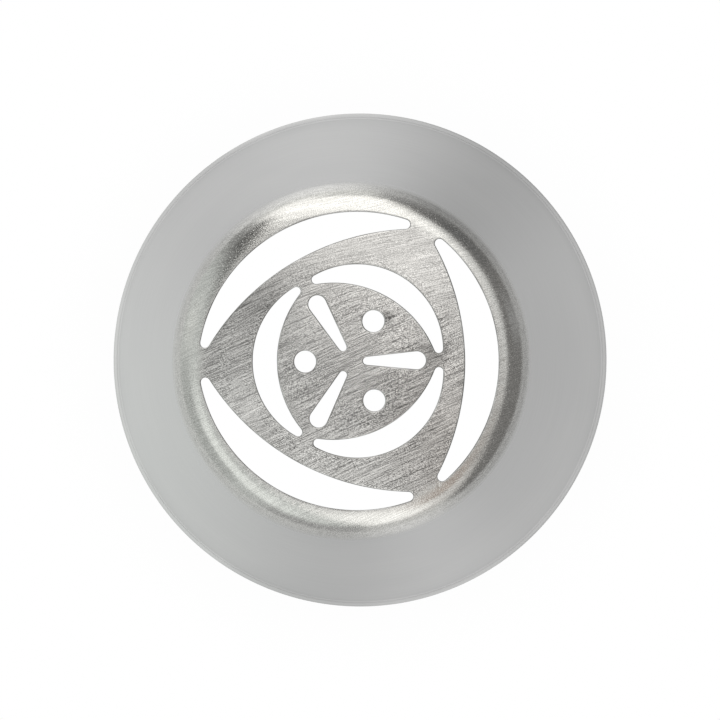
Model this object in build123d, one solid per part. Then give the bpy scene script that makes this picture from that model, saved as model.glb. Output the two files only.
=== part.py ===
from build123d import *
import math
import os

# One seamless stainless pressing: a tapered cup, open at the wide end, with the piping
# pattern cut through its slightly crowned tip face. All lengths in millimetres. The origin
# is the centre of the wide rim, which the nozzle stands on, and +Z runs up the axis.

# The cup
height = 40.0
base_diameter = 37.0  # over the lip at the foot
face_diameter = 21.04  # the tip face, up to where the shoulder bend begins
crown = 0.35  # how far the middle of the tip face stands above its edge
shoulder_radius = 2.2  # outside radius of the bend from tip face to taper
wall = 0.5

# The lip, where the drawn sheet turns out a little before it is trimmed
lip_reach = 0.31  # how far it stands out past the foot of the taper
lip_rise = 0.55  # from the trimmed edge up to the foot of the taper
trim_edge = 0.3  # height of the trimmed edge
rim_edge_radius = 0.08
lip_overturn = 30  # degrees that the bend runs on before it is trimmed

# The cut-outs, which repeat evenly round the axis
repeats = 3
cut_edge_radius = 0.07  # rounding left by the punch on the outer side

# Outer crescents, the large petals
petal_land = 0.23  # from the middle of the outer edge to the shoulder bend
petal_width = 2.33
petal_arc_centre = -0.81  # along the petal's own axis; its outer arc is flatter than the face
petal_web = 2.05  # metal left between the ends of two large petals
petal_end_radius = 0.33

# Inner crescents, the small petals, half a step round from the large ones
small_petal_reach_share = 0.651  # of the face's radius
small_petal_width = 1.7
small_petal_arc_centre = 0.84
small_petal_web = 0.97
small_petal_end_radius = 0.31

# Drops, in line with the large petals. Places are shares of the small petals' reach.
drop_narrow_place_share = 0.162
drop_wide_place_share = 0.6713
drop_narrow_radius = 0.275
drop_wide_radius = 0.63

# Round holes, in line with the small petals, placed in the same way
hole_place_share = 0.4654
hole_radius = 0.77

# How far the cutting shapes run past the sheet
overrun = 1.0

# Worked out from the sizes above
base_radius = base_diameter / 2
face_radius = face_diameter / 2
crown_angle = 2 * math.atan2(crown, face_radius)
crown_radius = face_radius / math.sin(crown_angle)
foot_radius = base_radius - lip_reach
foot_height = trim_edge + lip_rise
step_angle = 360 / repeats
small_petal_reach = small_petal_reach_share * face_radius

# The taper touches the shoulder bend and ends at the foot
bend_centre_radius = face_radius - shoulder_radius * math.sin(crown_angle)
bend_centre_height = height - crown - shoulder_radius * math.cos(crown_angle)
foot_out = foot_radius - bend_centre_radius
foot_down = bend_centre_height - foot_height
taper_angle = math.atan2(foot_out, foot_down) - math.asin(shoulder_radius / math.hypot(foot_out, foot_down))

# The lip's bend leaves the taper smoothly and makes both its reach and its rise
lip_angle = 2 * math.atan2(lip_reach, lip_rise) - taper_angle
lip_bend_radius = lip_rise / (math.sin(lip_angle) - math.sin(taper_angle))


def plain_cup():
    """The drawn and trimmed cup before its pattern is cut: one sheet turned round the axis."""
    face_line = JernArc((0, height), (1, 0), crown_radius, -math.degrees(crown_angle))
    shoulder_turn = math.degrees(taper_angle + crown_angle) - 90
    shoulder = JernArc(face_line @ 1, face_line % 1, shoulder_radius, shoulder_turn)
    taper = Line(shoulder @ 1, (foot_radius, foot_height))
    lip_turn = math.degrees(lip_angle - taper_angle) + lip_overturn
    lip = JernArc(taper @ 1, taper % 1, lip_bend_radius, lip_turn)
    outside = Wire([face_line, shoulder, taper, lip])
    section = make_face(offset(outside, wall, side=Side.RIGHT, closed=True))
    sheet = revolve(Plane.XZ * section, Axis.Z)
    trim = Cylinder(base_radius, height + overrun, align=(Align.CENTER, Align.CENTER, Align.MIN))
    cup = sheet & trim
    trimmed_edge = cup.faces().filter_by(GeomType.CYLINDER)[0]
    return fillet(trimmed_edge.edges().filter_by(GeomType.CIRCLE), rim_edge_radius)


def petal(reach, width, arc_centre, web, end_radius):
    """A crescent centred on +X that reaches out to reach and leaves web between its end and the next."""
    outer_arc = reach - arc_centre
    half_step = math.radians(step_angle / 2)
    # The end's centre stands off the ray half a step round, and touches the outer arc from inside
    stand_off = web / 2 + end_radius
    reach_of_end = outer_arc - end_radius
    off_line = stand_off - arc_centre * math.sin(half_step)
    out = arc_centre * math.cos(half_step) + math.sqrt(reach_of_end**2 - off_line**2)
    end_x = out * math.cos(half_step) + stand_off * math.sin(half_step)
    end_y = out * math.sin(half_step) - stand_off * math.cos(half_step)
    # The inner arc passes the middle of the inner edge and touches the end from outside
    inner_edge = reach - width
    touch = inner_edge + end_radius
    inner_centre = (touch**2 - end_x**2 - end_y**2) / (2 * (touch - end_x))
    disc = Pos(arc_centre, 0) * Circle(outer_arc)
    bite = Pos(inner_centre, 0) * Circle(inner_edge - inner_centre)
    crescent = disc - bite
    corners = crescent.vertices().sort_by(Axis.Y)
    return fillet([corners[0], corners[-1]], end_radius)


def large_petal():
    return petal(face_radius - petal_land, petal_width, petal_arc_centre, petal_web, petal_end_radius)


def small_petal():
    return petal(
        small_petal_reach,
        small_petal_width,
        small_petal_arc_centre,
        small_petal_web,
        small_petal_end_radius,
    )


def drop():
    """A tapered slot along +X, round at both ends, wide end outermost."""
    narrow_place = drop_narrow_place_share * small_petal_reach
    wide_place = drop_wide_place_share * small_petal_reach
    lean = math.asin((drop_wide_radius - drop_narrow_radius) / (wide_place - narrow_place))
    ends = [(narrow_place, drop_narrow_radius), (wide_place, drop_wide_radius)]
    touch = [(place - radius * math.sin(lean), radius * math.cos(lean)) for place, radius in ends]
    mirrored = [(x, -y) for x, y in reversed(touch)]
    shape = Polygon(*touch, *mirrored, align=None)
    for place, radius in ends:
        shape += Pos(place, 0) * Circle(radius)
    return shape


def round_hole():
    return Pos(hole_place_share * small_petal_reach, 0) * Circle(hole_radius)


def pattern():
    """Every cut-out, drawn flat about the axis."""
    outlines = []
    for turn in range(repeats):
        on_step = Rot(0, 0, turn * step_angle)
        half_way = Rot(0, 0, (turn + 1 / 2) * step_angle)
        outlines += [on_step * shape for shape in (large_petal(), drop())]
        outlines += [half_way * shape for shape in (small_petal(), round_hole())]
    return outlines


def nozzle_shell():
    # The surfaces of the cup meet themselves along a line, which is turned away from the drops
    cup = Rot(0, 0, step_angle / 4) * plain_cup()
    cut_depth = crown + wall + 2 * overrun
    punches = [extrude(Pos(0, 0, height + overrun) * outline, -cut_depth) for outline in pattern()]
    shell = cup - punches
    # Cut edges on the outer side lie nearer the crown's outer surface than the middle of the sheet
    crown_centre = Vector(0, 0, height - crown_radius)
    near_outside = crown_radius - wall / 4
    cut_edges = new_edges(cup, combined=shell)
    outer_edges = [edge for edge in cut_edges if (edge.center() - crown_centre).length > near_outside]
    return fillet(outer_edges, cut_edge_radius)


os.makedirs("parts", exist_ok=True)
export_step(nozzle_shell(), "parts/nozzle_shell.step")
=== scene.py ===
import math

import bmesh
import bpy
from mathutils import Matrix, Vector


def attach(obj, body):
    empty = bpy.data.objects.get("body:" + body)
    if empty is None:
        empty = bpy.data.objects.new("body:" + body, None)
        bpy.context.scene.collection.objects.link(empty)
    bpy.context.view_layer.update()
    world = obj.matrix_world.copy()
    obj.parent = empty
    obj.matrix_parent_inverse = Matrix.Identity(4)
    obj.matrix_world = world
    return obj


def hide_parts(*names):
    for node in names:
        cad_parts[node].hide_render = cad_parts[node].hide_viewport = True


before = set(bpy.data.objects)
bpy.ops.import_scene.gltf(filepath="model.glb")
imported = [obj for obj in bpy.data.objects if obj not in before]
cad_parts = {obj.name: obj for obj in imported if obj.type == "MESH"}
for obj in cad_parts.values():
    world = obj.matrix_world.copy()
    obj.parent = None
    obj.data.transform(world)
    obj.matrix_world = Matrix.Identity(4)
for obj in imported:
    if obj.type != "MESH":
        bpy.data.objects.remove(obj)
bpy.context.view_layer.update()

mm = 0.001
white = (1, 1, 1, 1)

# the drawn cup, in mm as on the drawing
cup = {
    "height": 40.0,
    "baseDiameter": 37.0,
    "faceDiameter": 21.04,
    "crown": 0.35,
    "shoulderRadius": 2.2,
    "wall": 0.5,
    "lipReach": 0.31,
    "lipRise": 0.55,
    "trimEdge": 0.3,
    "rimEdgeRadius": 0.08,
    "tipFaceEnd": 10.35,  # radius where the brushed finish ends
    "plateRadius": 10.82,  # where the tip plate hands over to the turned wall
    "stepsRound": 240,
    "shoulderSteps": 30,
    "taperRows": 14,
    "lipSteps": 6,
    "rimSteps": 4,
    "sharpAngle": 38.0,  # an edge that turns by more is shaded sharp
}

wall = cup["wall"]
faceRadius = cup["faceDiameter"] / 2
baseRadius = cup["baseDiameter"] / 2
crownAngle = 2 * math.atan2(cup["crown"], faceRadius)
crownRadius = faceRadius / math.sin(crownAngle)
bendR = faceRadius - cup["shoulderRadius"] * math.sin(crownAngle)
bendZ = cup["height"] - cup["crown"] - cup["shoulderRadius"] * math.cos(crownAngle)
footR = baseRadius - cup["lipReach"]
footZ = cup["trimEdge"] + cup["lipRise"]
footOut = footR - bendR
footDown = bendZ - footZ
taperAngle = math.atan2(footOut, footDown) - math.asin(cup["shoulderRadius"] / math.hypot(footOut, footDown))
lipAngle = 2 * math.atan2(cup["lipReach"], cup["lipRise"]) - taperAngle
lipRadius = cup["lipRise"] / (math.sin(lipAngle) - math.sin(taperAngle))
lipInside = footR - wall

# place of each finish among the nozzle's materials
slots = {"drawn": 0, "punched": 1, "inside": 2, "rim": 3, "tip": 4}


def tipHeight(r, below=0.0):
    # height of the tip's outer skin, or of the skin that lies below it, over radius r
    bend = cup["shoulderRadius"] - below
    if r < bendR + bend * math.sin(crownAngle):
        return cup["height"] - crownRadius + math.sqrt((crownRadius - below)**2 - r**2)
    return bendZ + math.sqrt(bend**2 - (r - bendR)**2)


# the wall, one profile turned round the axis

def penLine(bm, pen, r, z):
    tip = bmesh.ops.extrude_vert_indiv(bm, verts=[pen])["verts"][0]
    tip.co = Vector((r, 0, z)) * mm
    return tip


def penRows(bm, pen, r, z, rows):
    # a straight stretch of wall in even rows
    start = pen.co / mm
    for row in range(1, rows + 1):
        share = row / rows
        pen = penLine(bm, pen, start.x + (r - start.x) * share, start.z + (z - start.z) * share)
    return pen


def lastPoint(spun):
    return [v for v in spun["geom_last"] if isinstance(v, bmesh.types.BMVert)][0]


def penArc(bm, pen, r, z, turn, steps):
    # a positive turn goes from the top outwards
    centre = Vector((r, 0, z)) * mm
    spun = bmesh.ops.spin(bm, geom=[pen], cent=centre, axis=(0, 1, 0), angle=turn, steps=steps)
    return lastPoint(spun)


def buildWall(bm):
    c = cup
    bend = c["shoulderRadius"]
    edge = c["rimEdgeRadius"]
    join = c["plateRadius"]
    outerStart = math.asin((join - bendR) / bend)
    innerStart = math.asin((join - bendR) / (bend - wall))
    bendEnd = math.pi / 2 - taperAngle
    lipCentre = (footR + lipRadius * math.cos(taperAngle), footZ + lipRadius * math.sin(taperAngle))

    pen = bm.verts.new(Vector((join, 0, tipHeight(join))) * mm)
    pen = penArc(bm, pen, bendR, bendZ, bendEnd - outerStart, c["shoulderSteps"])
    pen = penRows(bm, pen, footR, footZ, c["taperRows"])

    # the lip turns out until the trimmed edge's rounding takes over
    cornerCut = edge * math.tan(lipAngle / 2)
    lipStop = cornerCut / lipRadius
    pen = penArc(bm, pen, *lipCentre, -(lipAngle - taperAngle - lipStop), c["lipSteps"])
    pen = penLine(bm, pen, baseRadius - edge + edge * math.cos(lipAngle),
                  c["trimEdge"] - cornerCut + edge * math.sin(lipAngle))
    pen = penArc(bm, pen, baseRadius - edge, c["trimEdge"] - cornerCut, lipAngle, c["rimSteps"])
    pen = penLine(bm, pen, baseRadius, edge)
    pen = penArc(bm, pen, baseRadius - edge, edge, math.pi / 2, c["rimSteps"])

    # back up the inside
    innerLip = lipRadius + wall
    standAngle = math.asin(min(1, lipCentre[1] / innerLip))
    pen = penLine(bm, pen, lipCentre[0] - innerLip * math.cos(standAngle), 0)
    pen = penArc(bm, pen, *lipCentre, standAngle - taperAngle, c["lipSteps"])
    lean = Vector((math.cos(taperAngle), 0, math.sin(taperAngle)))
    top = Vector((bendR, 0, bendZ)) + lean * (bend - wall)
    pen = penRows(bm, pen, top.x, top.z, c["taperRows"])
    pen = penArc(bm, pen, bendR, bendZ, -(bendEnd - innerStart), c["shoulderSteps"])

    bmesh.ops.spin(bm, geom=bm.verts[:] + bm.edges[:], cent=(0, 0, 0), axis=(0, 0, 1),
                   angle=math.tau, steps=c["stepsRound"], use_merge=True)


# the cut-outs, drawn as chains of arcs: centre x, y, radius, start, sweep (minus = hollow side)

cuts = {
    "repeats": 3,
    "petalLand": 0.23,
    "petalWidth": 2.33,
    "petalArcCentre": -0.81,
    "petalWeb": 2.05,
    "petalEndRadius": 0.33,
    "smallPetalReachShare": 0.651,
    "smallPetalWidth": 1.7,
    "smallPetalArcCentre": 0.84,
    "smallPetalWeb": 0.97,
    "smallPetalEndRadius": 0.31,
    "dropNarrowPlaceShare": 0.162,
    "dropWidePlaceShare": 0.6713,
    "dropNarrowRadius": 0.275,
    "dropWideRadius": 0.63,
    "holePlaceShare": 0.4654,
    "holeRadius": 0.77,
    "edgeRadius": 0.07,
    "edgeSteps": 4,
    "edgeLand": 0.05,  # narrow band on the face beside each rounded edge
    "pointSpacing": 0.16,
    "fewestSteps": 6,  # on an arc, however short
    "straightRows": 18,
    "closedGap": 0.01,  # arcs that end nearer than this meet without a straight
    "mergeReach": 0.002,
}

smallReach = cuts["smallPetalReachShare"] * faceRadius


def petalArcs(reach, width, arcCentre, web, endRadius):
    outer = reach - arcCentre
    half = math.pi / cuts["repeats"]
    standOff = web / 2 + endRadius
    offLine = standOff - arcCentre * math.sin(half)
    out = arcCentre * math.cos(half) + math.sqrt((outer - endRadius)**2 - offLine**2)
    endX = out * math.cos(half) + standOff * math.sin(half)
    endY = out * math.sin(half) - standOff * math.cos(half)
    innerEdge = reach - width
    touch = innerEdge + endRadius
    innerCentre = (touch**2 - endX**2 - endY**2) / (2 * (touch - endX))
    fromOuter = math.atan2(endY, endX - arcCentre)
    fromInner = math.atan2(endY, endX - innerCentre)
    endSweep = (fromInner + math.pi - fromOuter) % math.tau
    return [
        (arcCentre, 0, outer, -fromOuter, 2 * fromOuter),
        (endX, endY, endRadius, fromOuter, endSweep),
        (innerCentre, 0, innerEdge - innerCentre, fromInner, -2 * fromInner),
        (endX, -endY, endRadius, math.pi - fromInner, endSweep),
    ]


def dropArcs():
    narrow = cuts["dropNarrowPlaceShare"] * smallReach
    wide = cuts["dropWidePlaceShare"] * smallReach
    lean = math.asin((cuts["dropWideRadius"] - cuts["dropNarrowRadius"]) / (wide - narrow))
    quarter = math.pi / 2
    return [
        (wide, 0, cuts["dropWideRadius"], -quarter - lean, math.pi + 2 * lean),
        (narrow, 0, cuts["dropNarrowRadius"], quarter + lean, math.pi - 2 * lean),
    ]


def holeArcs():
    return [(cuts["holePlaceShare"] * smallReach, 0, cuts["holeRadius"], 0, math.tau)]


def drawOutline(bm, arcs, grow, turn):
    # one closed loop round a cut-out, grown into the metal, with the way into the metal kept at each point
    away = bm.verts.layers.float_vector.new("away")
    ends = []
    for x, y, radius, start, sweep in arcs:
        steps = max(cuts["fewestSteps"], math.ceil(abs(sweep) * radius / cuts["pointSpacing"]))
        grown = radius + math.copysign(grow, sweep)
        centre = Vector((x, y, 0)) * mm
        first = bm.verts.new(centre + Vector((grown * math.cos(start), grown * math.sin(start), 0)) * mm)
        spun = bmesh.ops.spin(bm, geom=[first], cent=centre, axis=(0, 0, 1), angle=sweep, steps=steps)
        ends.append((first, lastPoint(spun)))
        for v in bm.verts:
            if not v[away].length:  # a point of this arc
                v[away] = (v.co - centre).normalized() * math.copysign(1, sweep)
    for number, (first, last) in enumerate(ends):
        following = ends[(number + 1) % len(ends)][0]
        gap = following.co - last.co
        if gap.length < cuts["closedGap"] * mm:
            continue
        pen = last
        for row in range(1, cuts["straightRows"]):
            pen = bmesh.ops.extrude_vert_indiv(bm, verts=[pen])["verts"][0]
            pen.co = last.co + gap * row / cuts["straightRows"]
            pen[away] = last[away]
        bm.edges.new((pen, following))
    bmesh.ops.remove_doubles(bm, verts=bm.verts, dist=cuts["mergeReach"] * mm)
    spin = Matrix.Rotation(turn, 3, "Z")
    for v in bm.verts:
        v.co = spin @ v.co
        v[away] = spin @ v[away]
        v.co.z = tipHeight(v.co.xy.length / mm) * mm
    return bm.edges[:]


def stepIn(bm, edges, shift, depth, finish, inside=False):
    # next ring of the cut-out: extruded, drawn in by shift and sunk by depth
    away = bm.verts.layers.float_vector["away"]
    made = bmesh.ops.extrude_edge_only(bm, edges=edges)["geom"]
    ring = {g for g in made if isinstance(g, bmesh.types.BMVert)}
    for v in ring:
        v.co -= v[away] * shift * mm
        v.co.z = (tipHeight(v.co.xy.length / mm, wall if inside else 0.0) - depth) * mm
    for g in made:
        if isinstance(g, bmesh.types.BMFace):
            g.material_index = finish
    return [g for g in made if isinstance(g, bmesh.types.BMEdge) and ring.issuperset(g.verts)]


def buildCutout(arcs, turn):
    # land, rounded edge and punched wall of one cut-out, as a mesh of its own
    radius = cuts["edgeRadius"]
    land = cuts["edgeLand"]
    bm = bmesh.new()
    ring = drawOutline(bm, arcs, radius + land, turn)
    ring = stepIn(bm, ring, land, 0, slots["drawn"])
    for number in range(1, cuts["edgeSteps"] + 1):
        before = math.pi / 2 * (number - 1) / cuts["edgeSteps"]
        angle = math.pi / 2 * number / cuts["edgeSteps"]
        shift = radius * (math.sin(angle) - math.sin(before))
        ring = stepIn(bm, ring, shift, radius * (1 - math.cos(angle)), slots["punched"])
    stepIn(bm, ring, 0, 0, slots["punched"], inside=True)
    mesh = bpy.data.meshes.new("cutout")
    bm.to_mesh(mesh)
    bm.free()
    return mesh


def addCutouts(bm):
    step = math.tau / cuts["repeats"]
    large = petalArcs(faceRadius - cuts["petalLand"], cuts["petalWidth"], cuts["petalArcCentre"],
                      cuts["petalWeb"], cuts["petalEndRadius"])
    small = petalArcs(smallReach, cuts["smallPetalWidth"], cuts["smallPetalArcCentre"],
                      cuts["smallPetalWeb"], cuts["smallPetalEndRadius"])
    for number in range(cuts["repeats"]):
        for arcs, turn in ((large, 0), (dropArcs(), 0), (small, 0.5), (holeArcs(), 0.5)):
            mesh = buildCutout(arcs, (number + turn) * step)
            bm.from_mesh(mesh)
            bpy.data.meshes.remove(mesh)


# the tip's two skins, filled between the cut-outs

tipPlate = {
    "gridStep": 0.6,
    "gridSlack": 0.004,  # points this near a grid line count as on it
    "fineBand": 0.1,  # finer rows start this far inside the face's edge
    "fineRow": 0.1,  # and a row narrower than this isn't split again
    "fineRounds": 2,
}


def facesOf(geom):
    return [g for g in geom if isinstance(g, bmesh.types.BMFace)]


def isSteep(e):
    inner, outer = sorted(v.co.xy.length / mm for v in e.verts)
    atBend = outer > faceRadius - tipPlate["fineBand"]
    return atBend and outer - inner > tipPlate["fineRow"] and not e.is_boundary


def fillPlate(bm, edges, below):
    # fill between the outer ring and the cut-outs, then cut it fine enough to take the crown
    plate = facesOf(bmesh.ops.triangle_fill(bm, use_beauty=True, edges=edges, normal=(0, 0, 1))["geom"])
    geom = list({g for f in plate for g in (f, *f.edges, *f.verts)})
    count = math.floor(cup["plateRadius"] / tipPlate["gridStep"])
    for axis in (Vector((1, 0, 0)), Vector((0, 1, 0))):
        for number in range(-count, count + 1):
            geom = bmesh.ops.bisect_plane(bm, geom=geom, dist=tipPlate["gridSlack"] * mm, plane_no=axis,
                                          plane_co=axis * number * tipPlate["gridStep"] * mm)["geom"]
    # more rows where the plate runs into the bend
    plate = facesOf(geom)
    for rounds in range(tipPlate["fineRounds"]):
        steep = [e for e in {e for f in plate for e in f.edges} if isSteep(e)]
        made = bmesh.ops.subdivide_edges(bm, edges=steep, cuts=1)
        plate = list({f for f in plate if f.is_valid} | set(facesOf(made["geom"])))
        made = bmesh.ops.triangulate(bm, faces=[f for f in plate if len(f.verts) > 4])
        plate = list({f for f in plate if f.is_valid} | set(made["faces"]))
    for v in {v for f in plate for v in f.verts}:
        v.co.z = tipHeight(v.co.xy.length / mm, below) * mm


def isOutside(r, z):
    # true outside the middle of the sheet
    middle = cup["shoulderRadius"] - wall / 2
    if z <= bendZ:
        joinR = bendR + middle * math.cos(taperAngle)
        joinZ = bendZ + middle * math.sin(taperAngle)
        return r > joinR + (joinZ - z) * math.tan(taperAngle)
    if r < bendR:
        return z > cup["height"] - crownRadius + math.sqrt((crownRadius - wall / 2)**2 - r**2)
    return math.hypot(r - bendR, z - bendZ) > middle


def aboveMiddle(v):
    r = v.co.xy.length / mm
    return v.co.z / mm > (tipHeight(r) + tipHeight(r, wall)) / 2


def slotFor(f):
    # finish of a face outside the cut-outs, by its place
    centre = f.calc_center_median() / mm
    r = centre.xy.length
    if centre.z < cup["trimEdge"] and r > lipInside:
        return slots["rim"]
    if not isOutside(r, centre.z):
        return slots["inside"]
    return slots["tip"] if r < cup["tipFaceEnd"] else slots["drawn"]


def buildNozzle():
    bm = bmesh.new()
    buildWall(bm)
    print("wall turned:", len(bm.faces), "faces")
    addCutouts(bm)
    print("cut-outs drawn:", len(bm.faces), "faces")
    cutFaces = {f for f in bm.faces if f.material_index == slots["punched"]}
    openEdges = [e for e in bm.edges if e.is_boundary]
    fillPlate(bm, [e for e in openEdges if aboveMiddle(e.verts[0])], 0.0)
    fillPlate(bm, [e for e in openEdges if not aboveMiddle(e.verts[0])], wall)
    print("tip plate filled:", len(bm.faces), "faces")
    bmesh.ops.recalc_face_normals(bm, faces=bm.faces)
    for f in bm.faces:
        f.smooth = True
        if f not in cutFaces:
            f.material_index = slotFor(f)
    for e in bm.edges:
        if len(e.link_faces) == 2 and e.calc_face_angle() > math.radians(cup["sharpAngle"]):
            e.smooth = False
    print("open edges:", len([e for e in bm.edges if len(e.link_faces) != 2]))
    mesh = bpy.data.meshes.new("nozzle")
    bm.to_mesh(mesh)
    bm.free()
    nozzle = bpy.data.objects.new("nozzle", mesh)
    bpy.context.scene.collection.objects.link(nozzle)
    return nozzle


nozzle = buildNozzle()


# shader nodes

def feed(tree, socket, value):
    if isinstance(value, bpy.types.NodeSocket):
        tree.links.new(value, socket)
    else:
        socket.default_value = value


def setInputs(tree, node, inputs):
    for name, value in inputs.items():
        feed(tree, node.inputs[name], value)


def addNode(tree, kind, inputs=None, **settings):
    node = tree.nodes.new("ShaderNode" + kind)
    for name, value in settings.items():
        setattr(node, name, value)
    setInputs(tree, node, inputs or {})
    return node


def calc(tree, operation, *values, clamp=False):
    return addNode(tree, "Math", dict(enumerate(values)), operation=operation, use_clamp=clamp).outputs[0]


def weighted(tree, *pairs):
    # sum of values, each with its weight
    parts = [calc(tree, "MULTIPLY", value, weight) for value, weight in pairs]
    total = parts[0]
    for part in parts[1:]:
        total = calc(tree, "ADD", total, part)
    return total


def fade(tree, value, low, high, toLow=0.0, toHigh=1.0):
    # smooth step from low to high
    inputs = {"Value": value, "From Min": low, "From Max": high, "To Min": toLow, "To Max": toHigh}
    return addNode(tree, "MapRange", inputs, interpolation_type="SMOOTHSTEP").outputs["Result"]


def fadeOut(tree, value, low, high, full=1.0):
    return fade(tree, value, low, high, full, 0.0)


def vectorCalc(tree, operation, *values, output=0, **named):
    inputs = {**dict(enumerate(values)), **named}
    return addNode(tree, "VectorMath", inputs, operation=operation).outputs[output]


def partsOf(tree, vector):
    return addNode(tree, "SeparateXYZ", {"Vector": vector}).outputs


def joined(tree, x, y, z):
    return addNode(tree, "CombineXYZ", {"X": x, "Y": y, "Z": z}).outputs[0]


def mixValue(tree, share, a, b):
    return addNode(tree, "Mix", {"Factor": share, "A": a, "B": b}, data_type="FLOAT").outputs["Result"]


def mixColour(tree, share, a, b):
    # the Mix node names its inputs alike for every data type, so they are found by place
    return addNode(tree, "Mix", {0: share, 6: a, 7: b}, data_type="RGBA").outputs[2]


def millimetres(tree):
    place = addNode(tree, "TexCoord").outputs["Object"]
    return vectorCalc(tree, "SCALE", place, Scale=1 / mm)


def flatOf(tree, place):
    return vectorCalc(tree, "MULTIPLY", place, (1.0, 1.0, 0.0))


def radiusOf(tree, place):
    return vectorCalc(tree, "LENGTH", flatOf(tree, place), output="Value")


def azimuthOf(tree, place):
    parts = partsOf(tree, place)
    return calc(tree, "ARCTAN2", parts["Y"], parts["X"])


def turnedPlace(tree, place, angle):
    # coordinates whose x runs along a direction, in degrees round the axis
    back = calc(tree, "RADIANS", calc(tree, "MULTIPLY", angle, -1.0))
    return addNode(tree, "VectorRotate", {"Vector": place, "Angle": back}, rotation_type="Z_AXIS").outputs[0]


def roundAxis(tree, place, along, across):
    # coordinates of marks that run round the axis: along and across in mm at the shoulder
    outward = vectorCalc(tree, "NORMALIZE", flatOf(tree, place))
    ring = vectorCalc(tree, "SCALE", outward, Scale=faceRadius / along)
    down = calc(tree, "SUBTRACT", radiusOf(tree, place), partsOf(tree, place)["Z"])
    return vectorCalc(tree, "ADD", ring, joined(tree, 0.0, 0.0, calc(tree, "DIVIDE", down, across)))


def grainOf(tree, place, grain):
    # a grain is its size in mm, along x, y and z or round the axis and across, with detail and roughness
    size, detail, roughness = grain
    if len(size) == 2:
        vector = roundAxis(tree, place, *size)
    else:
        vector = vectorCalc(tree, "DIVIDE", place, size)
    inputs = {"Vector": vector, "Scale": 1.0, "Detail": detail, "Roughness": roughness}
    return addNode(tree, "TexNoise", inputs).outputs["Fac"]


def newMaterial(name):
    material = bpy.data.materials.new(name)
    material.use_nodes = True
    tree = material.node_tree
    tree.nodes.clear()
    shader = addNode(tree, "BsdfPrincipled")
    addNode(tree, "OutputMaterial", {"Surface": shader.outputs["BSDF"]})
    return material, tree, shader


def finishMetal(tree, shader, tone, roughness, relief, depth):
    bump = addNode(tree, "Bump", {"Strength": 1.0, "Distance": depth * mm, "Height": relief})
    setInputs(tree, shader, {"Base Color": tone, "Roughness": roughness, "Normal": bump.outputs[0],
                             "Metallic": 1.0, "Specular Tint": steel["edgeTint"]})


# the outer skin. Its grains are given as grainOf takes them, and a fade is the stretch of a place or of a
# noise over which something comes in.
steel = {
    "faceDark": (0.105, 0.103, 0.1, 1),
    "faceLight": (0.85, 0.843, 0.825, 1),
    "bendDark": (0.43, 0.427, 0.412, 1),
    "bendLight": (0.77, 0.766, 0.741, 1),
    "taperDark": (0.60, 0.603, 0.60, 1),
    "taperLight": (0.645, 0.647, 0.643, 1),
    "footHighlight": (0.86, 0.86, 0.855, 1),
    "edgeTint": (0.7, 0.7, 0.7, 1),

    # where each finish ends
    "brushFade": (9.9, 10.8),  # radius over which the brushing gives way to the bend
    "brushReach": (38.6, 39.5),  # height over which the brushing runs out on the bend
    "taperFade": (37.6, 39.0),  # height over which the bend gives way to the taper
    "footHighlightFade": (0.55, 0.9, 1.2, 2.1),  # heights between which a painted highlight brightens the taper above the lip

    # brushed tip face
    "brushAngle": 24.0,
    "brushBend": 12.0,  # degrees by which the strokes flatten out towards +Y
    "brushBendFade": (2.5, 8.0),
    "fineStrokes": ((2.6, 0.038, 2.0), 1.0, 0.5),
    "broadStrokes": ((5.0, 0.11, 3.0), 2.0, 0.5),
    "shortStrokes": ((0.7, 0.036, 2.0), 1.0, 0.5),
    "specks": ((0.055, 0.045, 0.1), 1.0, 0.5),
    "fineWeight": 0.27,
    "broadWeight": 0.09,
    "shortWeight": 0.14,
    "speckWeight": 0.5,
    "strokeFade": (0.41, 0.59),
    "scratches": [  # a bright set and a dark one, each turned a little from the strokes
        {"turn": 5.0, "grain": ((3.0, 0.055, 9.0), 1.0, 0.5), "fade": (0.62, 0.70), "tone": 1.0},
        {"turn": -3.0, "grain": ((3.0, 0.06, 9.0), 1.0, 0.5), "fade": (0.60, 0.70), "tone": 0.0},
    ],
    "scratchShare": 0.6,
    "calmShare": 0.4,  # how much of the contrast the brushing loses towards +Y
    "calmTone": 0.62,
    # soft spots of painted shade and painted reflection on the face, the dark ones partly smudges of
    # handling: x, y, reach in mm, tone added
    "smudgeAndReflectionSpots": [(2.55, 3.0, 0.8, -0.45), (6.2, 0.7, 0.9, -0.38), (5.3, 0.2, 1.9, -0.24), (3.0, -3.3, 3.6, -0.16),
             (-3.3, 2.6, 3.2, 0.22), (-7.6, -2.8, 3.4, 0.2), (4.6, 5.6, 3.4, 0.12), (6.6, -3.1, 2.2, 0.14)],
    "patches": ((5.0, 2.2, 5.0), 2.0, 0.5),
    "faceRoughness": (0.2, 0.12),  # middle and spread
    "faceAnisotropy": 0.9,
    "faceRelief": 0.003,

    # grainy bend
    "bendGrain": ((0.068, 0.068, 0.068), 2.0, 0.6),
    "bendRings": ((0.5, 0.11), 3.0, 0.6),
    "grainWeight": 0.67,
    "lineWeight": 0.33,
    "bendFade": (0.35, 0.65),
    "pitFade": (0.63, 0.76),
    "pitDepth": 2.2,
    "bendRoughness": (0.12, 0.10),
    "bendRelief": 0.0019,

    # satin taper
    "clouds": ((9.0, 9.0, 14.0), 2.0, 0.5),
    "cloudFade": (0.35, 0.65),
    "taperRings": ((5.0, 0.3), 2.0, 0.5),
    "ringFade": (0.4, 0.6),
    "ringShare": 0.10,
    "taperRoughness": (0.3, 0.05),
    "taperRelief": 0.0006,
}


def roughnessOf(tree, grain, middle, spread):
    return calc(tree, "MULTIPLY_ADD", calc(tree, "SUBTRACT", grain, 0.5), spread, middle)


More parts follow.
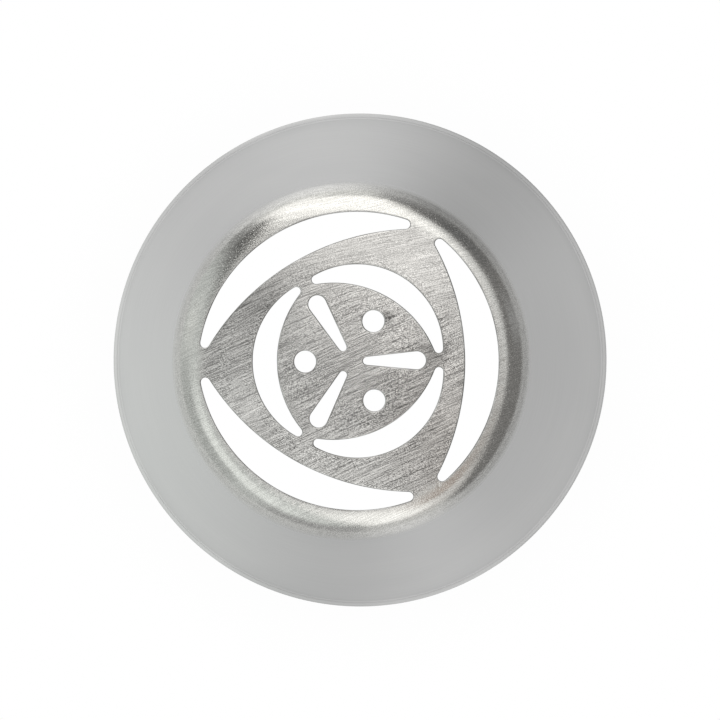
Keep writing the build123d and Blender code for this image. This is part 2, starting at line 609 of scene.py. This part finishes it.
def brushedTone(tree, place, alongY, brush, fine):
    # straight brushing in long and short strokes, then single scratches, then soft spots of painted shade and
    # painted reflection, the dark ones partly smudges
    turned = turnedPlace(tree, place, brush)
    streak = weighted(tree, (fine, steel["fineWeight"]),
                      (grainOf(tree, turned, steel["broadStrokes"]), steel["broadWeight"]),
                      (grainOf(tree, turned, steel["shortStrokes"]), steel["shortWeight"]),
                      (grainOf(tree, place, steel["specks"]), steel["speckWeight"]))
    streak = fade(tree, streak, *steel["strokeFade"])
    for scratch in steel["scratches"]:
        along = turnedPlace(tree, place, calc(tree, "ADD", brush, scratch["turn"]))
        line = fade(tree, grainOf(tree, along, scratch["grain"]), *scratch["fade"])
        streak = mixValue(tree, calc(tree, "MULTIPLY", line, steel["scratchShare"]), streak, scratch["tone"])
    calm = fade(tree, alongY, *steel["brushBendFade"], 0.0, steel["calmShare"])
    streak = mixValue(tree, calm, streak, steel["calmTone"])
    # soft spots of painted shade where tone is taken away and painted reflection where it is added
    for x, y, reach, amount in steel["smudgeAndReflectionSpots"]:
        away = vectorCalc(tree, "DISTANCE", place, (x, y, cup["height"]), output="Value")
        streak = calc(tree, "ADD", streak, fadeOut(tree, away, 0.0, reach, amount))
    streak = calc(tree, "ADD", streak, 0.0, clamp=True)
    return mixColour(tree, streak, steel["faceDark"], steel["faceLight"])


def outerSteel(name, anisotropy=0.0):
    # brushed tip face, grainy bend and satin taper in one, with a painted highlight on the taper above the
    # lip. The face has a copy with stretched reflections.
    material, tree, shader = newMaterial(name)
    place = millimetres(tree)
    parts = partsOf(tree, place)
    alongY, level = parts["Y"], parts["Z"]
    onFace = fadeOut(tree, radiusOf(tree, place), *steel["brushFade"])
    onTaper = fadeOut(tree, level, *steel["taperFade"])
    lowest, low, high, highest = steel["footHighlightFade"]
    footHighlightShare = calc(tree, "MULTIPLY", fade(tree, level, lowest, low), fadeOut(tree, level, high, highest))

    flatten = fade(tree, alongY, *steel["brushBendFade"], 0.0, steel["brushBend"])
    brush = calc(tree, "SUBTRACT", steel["brushAngle"], flatten)
    turned = turnedPlace(tree, place, brush)
    fine = grainOf(tree, turned, steel["fineStrokes"])
    patch = grainOf(tree, turned, steel["patches"])
    faceTone = brushedTone(tree, place, alongY, brush, fine)

    # the bend keeps the grain of the drawn sheet. The strokes run out over its upper part, and fine
    # marks go round it below them.
    grain = grainOf(tree, place, steel["bendGrain"])
    rings = grainOf(tree, place, steel["bendRings"])
    bendLine = mixValue(tree, fade(tree, level, *steel["brushReach"]), rings, fine)
    bendMix = weighted(tree, (grain, steel["grainWeight"]), (bendLine, steel["lineWeight"]))
    bendMix = fade(tree, bendMix, *steel["bendFade"])
    pit = fade(tree, grain, *steel["pitFade"])
    bendTone = mixColour(tree, bendMix, steel["bendDark"], steel["bendLight"])

    cloud = fade(tree, grainOf(tree, place, steel["clouds"]), *steel["cloudFade"])
    ring = fade(tree, grainOf(tree, place, steel["taperRings"]), *steel["ringFade"])
    ringShare = calc(tree, "MULTIPLY", ring, steel["ringShare"])
    taperTone = mixColour(tree, cloud, steel["taperDark"], steel["taperLight"])
    taperTone = mixColour(tree, ringShare, taperTone, steel["bendDark"])
    # painted highlight on the taper above the lip
    taperTone = mixColour(tree, footHighlightShare, taperTone, steel["footHighlight"])

    tone = mixColour(tree, onFace, mixColour(tree, onTaper, bendTone, taperTone), faceTone)

    bendRough = roughnessOf(tree, grain, *steel["bendRoughness"])
    taperRough = roughnessOf(tree, cloud, *steel["taperRoughness"])
    faceRough = roughnessOf(tree, patch, *steel["faceRoughness"])
    rough = mixValue(tree, onFace, mixValue(tree, onTaper, bendRough, taperRough), faceRough)

    # relief in mm
    bendRelief = calc(tree, "ADD", bendMix, calc(tree, "MULTIPLY", pit, steel["pitDepth"]))
    bendRelief = calc(tree, "MULTIPLY", bendRelief, steel["bendRelief"])
    taperRelief = calc(tree, "MULTIPLY", ring, steel["taperRelief"])
    faceRelief = calc(tree, "MULTIPLY", fine, steel["faceRelief"])
    relief = mixValue(tree, onFace, mixValue(tree, onTaper, bendRelief, taperRelief), faceRelief)

    finishMetal(tree, shader, tone, rough, relief, 1.0)
    setInputs(tree, shader, {"Anisotropic": anisotropy})
    if anisotropy:
        across = math.radians(steel["brushAngle"] + 90)
        setInputs(tree, shader, {"Tangent": joined(tree, math.cos(across), math.sin(across), 0.0)})
    return material


# sheared metal round the cut-outs, rubbed through the sheet's thickness and burnished dark in places
punchedMetal = {
    "dark": (0.46, 0.457, 0.448, 1),
    "light": (0.66, 0.656, 0.645, 1),
    "rubMarks": ((0.07, 0.07, 0.5), 3.0, 0.6),
    "rubFade": (0.35, 0.65),
    "burnished": (0.24, 0.235, 0.225, 1),
    "burnishShare": 0.7,
    "burnish": ((2.2, 2.2, 2.2), 2.0, 0.5),
    "burnishFade": (0.4, 0.6),
    "roughness": 0.3,
    "roughnessAdded": 0.15,
    "relief": 0.003,
}


def punchedEdge():
    material, tree, shader = newMaterial("punchedEdge")
    place = millimetres(tree)
    rub = fade(tree, grainOf(tree, place, punchedMetal["rubMarks"]), *punchedMetal["rubFade"])
    burnish = fade(tree, grainOf(tree, place, punchedMetal["burnish"]), *punchedMetal["burnishFade"])
    burnish = calc(tree, "MULTIPLY", burnish, punchedMetal["burnishShare"])
    tone = mixColour(tree, rub, punchedMetal["dark"], punchedMetal["light"])
    tone = mixColour(tree, burnish, tone, punchedMetal["burnished"])
    rough = calc(tree, "MULTIPLY_ADD", rub, punchedMetal["roughnessAdded"], punchedMetal["roughness"])
    finishMetal(tree, shader, tone, rough, rub, punchedMetal["relief"])
    return material


# inner skin: duller, with the draw marks that run up the wall
innerSkin = {
    "dark": (0.50, 0.50, 0.495, 1),
    "light": (0.60, 0.60, 0.59, 1),
    "drawMarks": ((0.35, 0.35, 12.0), 3.0, 0.6),
    "drawMarkFade": (0.35, 0.65),
    "cloudy": (0.44, 0.44, 0.435, 1),
    "cloudShare": 0.25,
    "clouds": ((6.0, 6.0, 10.0), 3.0, 0.55),
    "cloudFade": (0.35, 0.7),
    "rings": ((3.0, 0.35), 3.0, 0.55),
    "roughness": 0.30,
    "roughnessAdded": 0.12,
    "drawMarkWeight": 0.5,
    "ringWeight": 0.5,
    "relief": 0.003,
}


def insideSteel():
    material, tree, shader = newMaterial("insideSteel")
    place = millimetres(tree)
    ring = grainOf(tree, place, innerSkin["rings"])
    cloud = fade(tree, grainOf(tree, place, innerSkin["clouds"]), *innerSkin["cloudFade"])
    drawMark = fade(tree, grainOf(tree, place, innerSkin["drawMarks"]), *innerSkin["drawMarkFade"])
    cloud = calc(tree, "MULTIPLY", cloud, innerSkin["cloudShare"])
    tone = mixColour(tree, drawMark, innerSkin["dark"], innerSkin["light"])
    tone = mixColour(tree, cloud, tone, innerSkin["cloudy"])
    rough = calc(tree, "MULTIPLY_ADD", ring, innerSkin["roughnessAdded"], innerSkin["roughness"])
    relief = weighted(tree, (drawMark, innerSkin["drawMarkWeight"]), (ring, innerSkin["ringWeight"]))
    finishMetal(tree, shader, tone, rough, relief, innerSkin["relief"])
    return material


# the foot's cut edge, linished in fine rings
footRim = {
    "dark": (0.40, 0.40, 0.395, 1),
    "light": (0.54, 0.54, 0.53, 1),
    "rings": ((2.0, 0.05), 3.0, 0.6),
    "ringFade": (0.35, 0.65),
    "roughness": 0.24,
    "roughnessAdded": 0.12,
    "relief": 0.003,
}


def trimmedRim():
    material, tree, shader = newMaterial("trimmedRim")
    ring = fade(tree, grainOf(tree, millimetres(tree), footRim["rings"]), *footRim["ringFade"])
    tone = mixColour(tree, ring, footRim["dark"], footRim["light"])
    rough = calc(tree, "MULTIPLY_ADD", ring, footRim["roughnessAdded"], footRim["roughness"])
    finishMetal(tree, shader, tone, rough, ring, footRim["relief"])
    return material


# in the order of the slots
finishes = [outerSteel("drawnSteel"), punchedEdge(), insideSteel(), trimmedRim(),
            outerSteel("brushedTip", steel["faceAnisotropy"])]
for finish in finishes:
    nozzle.data.materials.append(finish)
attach(nozzle, "root")
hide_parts("nozzle_shell")
print("steel finished")


# the table: white with a soft shadow to the camera, pale grey with lights round it as the steel mirrors it
table = {
    "size": 3.0,
    "shadowReach": 7.0,
    "shadowDepth": 0.03,
    "shadowSamples": 8,
    "shadowStart": 0.6,  # how far under the foot the shadow starts
    "nearTone": 0.85,
    "farTone": 0.66,
    "nearEnd": 21.0,  # radii in mm between which the near tone gives way to the far one
    "farStart": 85.0,
    # lights, beside the nozzle and further off: direction, half width in degrees, tone added
    "nearLights": [(98, 50, 0.15), (185, 80, 0.20), (225, 40, 0.03), (55, 34, -0.15), (262, 40, -0.04),
                   (5, 40, -0.02), (292, 25, 0.08)],
    "farLights": [(103, 40, 0.52), (185, 80, 0.14), (240, 30, 0.07), (288, 24, 0.32), (55, 42, -0.27),
                  (0, 60, -0.14), (320, 30, -0.08)],
    "coolTint": (0.98, 1.0, 0.984, 1),
    "coolLights": [(205, 75, 1.0)],  # where the light has the cool tint
}


def lightsRound(tree, azimuth, tone, lights):
    for direction, width, amount in lights:
        turn = calc(tree, "SUBTRACT", azimuth, math.radians(direction))
        away = calc(tree, "ARCCOSINE", calc(tree, "COSINE", turn))
        tone = calc(tree, "ADD", tone, fadeOut(tree, away, 0.0, math.radians(width), amount))
    return tone


def paleTable():
    material = bpy.data.materials.new("paleTable")
    material.use_nodes = True
    tree = material.node_tree
    tree.nodes.clear()
    place = millimetres(tree)
    radius = radiusOf(tree, place)
    outside = fade(tree, radius, baseRadius - table["shadowStart"], baseRadius)
    reach = {"Distance": table["shadowReach"] * mm}
    shade = addNode(tree, "AmbientOcclusion", reach, samples=table["shadowSamples"]).outputs["AO"]
    shade = calc(tree, "MULTIPLY", calc(tree, "SUBTRACT", 1.0, shade), outside)
    seen = calc(tree, "SUBTRACT", 1.0, calc(tree, "MULTIPLY", shade, table["shadowDepth"]))

    azimuth = azimuthOf(tree, place)
    near = lightsRound(tree, azimuth, table["nearTone"], table["nearLights"])
    far = lightsRound(tree, azimuth, table["farTone"], table["farLights"])
    mirrored = mixValue(tree, fade(tree, radius, table["nearEnd"], table["farStart"]), near, far)

    ray = addNode(tree, "LightPath").outputs
    straight = calc(tree, "MAXIMUM", ray["Is Camera Ray"], ray["Is Transmission Ray"])
    cool = lightsRound(tree, azimuth, 0.0, table["coolLights"])
    cool = calc(tree, "MULTIPLY", cool, calc(tree, "SUBTRACT", 1.0, straight))
    tint = mixColour(tree, cool, white, table["coolTint"])
    light = addNode(tree, "Emission", {"Color": tint, "Strength": mixValue(tree, straight, mirrored, seen)})
    addNode(tree, "OutputMaterial", {"Surface": light.outputs[0]})
    return material


def tableTop():
    bm = bmesh.new()
    bmesh.ops.create_grid(bm, x_segments=1, y_segments=1, size=table["size"])
    mesh = bpy.data.meshes.new("tableTop")
    bm.to_mesh(mesh)
    bm.free()
    top = bpy.data.objects.new("tableTop", mesh)
    bpy.context.scene.collection.objects.link(top)
    top.data.materials.append(paleTable())


tableTop()
print("table laid")


# studio light, painted into the world as soft panels, each over the ones before it. Angles are in degrees.
# polar: from, to, soft edge, measured down from straight up
# around: direction from +X, half width, soft edge, and how far it leans round for each degree of polar
# x: from, to, soft edge, measured from straight up towards +X
# spot: direction from +X, distance from straight up, radius, soft edge
studio = {
    "roomTone": (0.26, 0.255, 0.25, 1),
    "panels": {
        "overhead": {"polar": (-10, 47, 8), "x": (-60, 28, 16), "tone": (0.86, 0.86, 0.85, 1)},
        "overheadSide": {"around": (32, 8, 12, 0), "polar": (20, 38, 8), "tone": (0.95, 0.95, 0.94, 1)},
        "overheadRight": {"around": (322, 26, 24, 0), "polar": (7, 46, 8), "x": (-60, 27, 16),
                          "tone": (0.56, 0.54, 0.52, 1)},
        "leftWall": {"around": (205, 66, 30, 0), "polar": (12, 120, 24), "tone": (0.75, 0.775, 0.758, 1)},
        "leftSide": {"around": (167, 6, 10, 0), "polar": (38, 78, 16), "tone": (0.91, 0.93, 0.905, 1)},
        "leftGlow": {"around": (200, 26, 28, 0.5), "polar": (26, 60, 14), "tone": (1.155, 1.19, 1.16, 1)},
        "leftLow": {"around": (202, 22, 16, 0), "polar": (53, 100, 12), "tone": (0.59, 0.61, 0.595, 1)},
        "frontLow": {"around": (257, 20, 16, 0), "polar": (68, 100, 14), "tone": (0.5, 0.5, 0.5, 1)},
        "rightSpot": {"around": (14, 6, 8, 0), "polar": (54, 92, 8), "tone": (0.4, 0.4, 0.4, 1)},
        "rightCorner": {"around": (48, 12, 14, 0), "polar": (50, 86, 14), "tone": (0.19, 0.19, 0.19, 1)},
        "flag": {"around": (127, 32, 20, -0.35), "polar": (3, 83, 3), "tone": (0.17, 0.168, 0.165, 1)},
        "flagFoot": {"around": (127, 32, 20, -0.35), "polar": (66, 90, 22), "tone": (0.45, 0.45, 0.45, 1)},
        "tallBox": {"around": (86.8, 37, 3, -0.07), "polar": (3, 65, 7), "x": (-90, 16, 14),
                    "tone": (1.75, 1.73, 1.69, 1)},
        "tallBoxFoot": {"around": (103, 22, 8, 0), "polar": (66, 120, 8), "tone": (1.0, 1.0, 0.98, 1)},
        "tallBoxSide": {"around": (111, 10, 7, 0), "polar": (62, 78, 8), "tone": (1.6, 1.58, 1.55, 1)},
        "frontBox": {"around": (259, 16, 6, 0.47), "polar": (8, 70, 12), "tone": (1.52, 1.51, 1.48, 1)},
        "frontBoxFoot": {"around": (289, 15, 10, 0), "polar": (70, 100, 16), "tone": (0.82, 0.82, 0.81, 1)},
        "frontPost": {"around": (304, 10, 7, 0), "polar": (10, 46, 9), "tone": (0.59, 0.505, 0.45, 1)},
        "frontSide": {"around": (341, 9, 10, -0.62), "polar": (40, 74, 12), "tone": (0.86, 0.84, 0.82, 1)},
        "lensSpot": {"polar": (-10, 12, 3), "spot": (8, 2.4, 4, 3), "tone": (0.5, 0.5, 0.5, 1)},
    },
}


def above(tree, value, limit, edge):
    return fade(tree, value, limit - edge / 2, limit + edge / 2)


def under(tree, value, limit, edge):
    return fadeOut(tree, value, limit - edge / 2, limit + edge / 2)


def panelShare(tree, panel, azimuth, polar, flat):
    # how much of this panel shows in a direction
    low, high, edge = panel["polar"]
    shares = [above(tree, polar, low, edge), under(tree, polar, high, edge)]
    if "around" in panel:
        direction, width, edge, lean = panel["around"]
        centre = calc(tree, "ADD", direction, calc(tree, "MULTIPLY", polar, lean))
        turn = calc(tree, "RADIANS", calc(tree, "SUBTRACT", azimuth, centre))
        away = calc(tree, "DEGREES", calc(tree, "ARCCOSINE", calc(tree, "COSINE", turn)))
        shares.append(under(tree, away, width, edge))
    if "x" in panel:
        low, high, edge = panel["x"]
        x = partsOf(tree, flat)["X"]
        shares += [above(tree, x, low, edge), under(tree, x, high, edge)]
    if "spot" in panel:
        direction, out, width, edge = panel["spot"]
        turn = math.radians(direction)
        middle = (out * math.cos(turn), out * math.sin(turn), 0.0)
        away = vectorCalc(tree, "DISTANCE", flat, middle, output="Value")
        shares.append(under(tree, away, width, edge))
    whole = shares[0]
    for share in shares[1:]:
        whole = calc(tree, "MULTIPLY", whole, share)
    return whole


def buildStudio():
    world = bpy.data.worlds.new("studio")
    bpy.context.scene.world = world
    world.use_nodes = True
    tree = world.node_tree
    tree.nodes.clear()
    toward = vectorCalc(tree, "NORMALIZE", addNode(tree, "TexCoord").outputs["Generated"])
    turn = azimuthOf(tree, toward)
    azimuth = calc(tree, "DEGREES", turn)
    polar = calc(tree, "DEGREES", calc(tree, "ARCCOSINE", partsOf(tree, toward)["Z"]))
    x = calc(tree, "MULTIPLY", polar, calc(tree, "COSINE", turn))
    y = calc(tree, "MULTIPLY", polar, calc(tree, "SINE", turn))
    flat = joined(tree, x, y, 0.0)
    tone = studio["roomTone"]
    for panel in studio["panels"].values():
        tone = mixColour(tree, panelShare(tree, panel, azimuth, polar, flat), tone, panel["tone"])
    ray = addNode(tree, "LightPath").outputs
    tone = mixColour(tree, ray["Is Camera Ray"], tone, white)
    light = addNode(tree, "Background", {"Color": tone, "Strength": 1.0})
    addNode(tree, "OutputWorld", {"Surface": light.outputs[0]})


buildStudio()
print("studio lit")


# camera, almost straight above with a long lens. Tilt, its direction and roll are in degrees.
view = {
    "distance": 0.547,
    "lens": 364.25,
    "sensor": 36.0,
    "clipStart": 0.01,
    "tilt": 0.92,
    "tiltToward": 5.9,
    "roll": 0.65,
}


def aimCamera():
    data = bpy.data.cameras.new("overhead")
    data.lens = view["lens"]
    data.sensor_width = view["sensor"]
    data.sensor_fit = "HORIZONTAL"
    data.clip_start = view["clipStart"]
    camera = bpy.data.objects.new("overhead", data)
    bpy.context.scene.collection.objects.link(camera)
    tilt = math.radians(view["tilt"])
    toward = math.radians(view["tiltToward"])
    roll = math.radians(view["roll"])
    backward = Vector((math.sin(tilt) * math.cos(toward), math.sin(tilt) * math.sin(toward), math.cos(tilt)))
    right = Vector((math.sin(roll), math.cos(roll), 0)).cross(backward).normalized()
    up = backward.cross(right)
    turn = Matrix((right, up, backward)).transposed()
    camera.matrix_world = Matrix.Translation(backward * view["distance"]) @ turn.to_4x4()
    bpy.context.scene.camera = camera


aimCamera()
bpy.context.scene.view_settings.view_transform = "Standard"
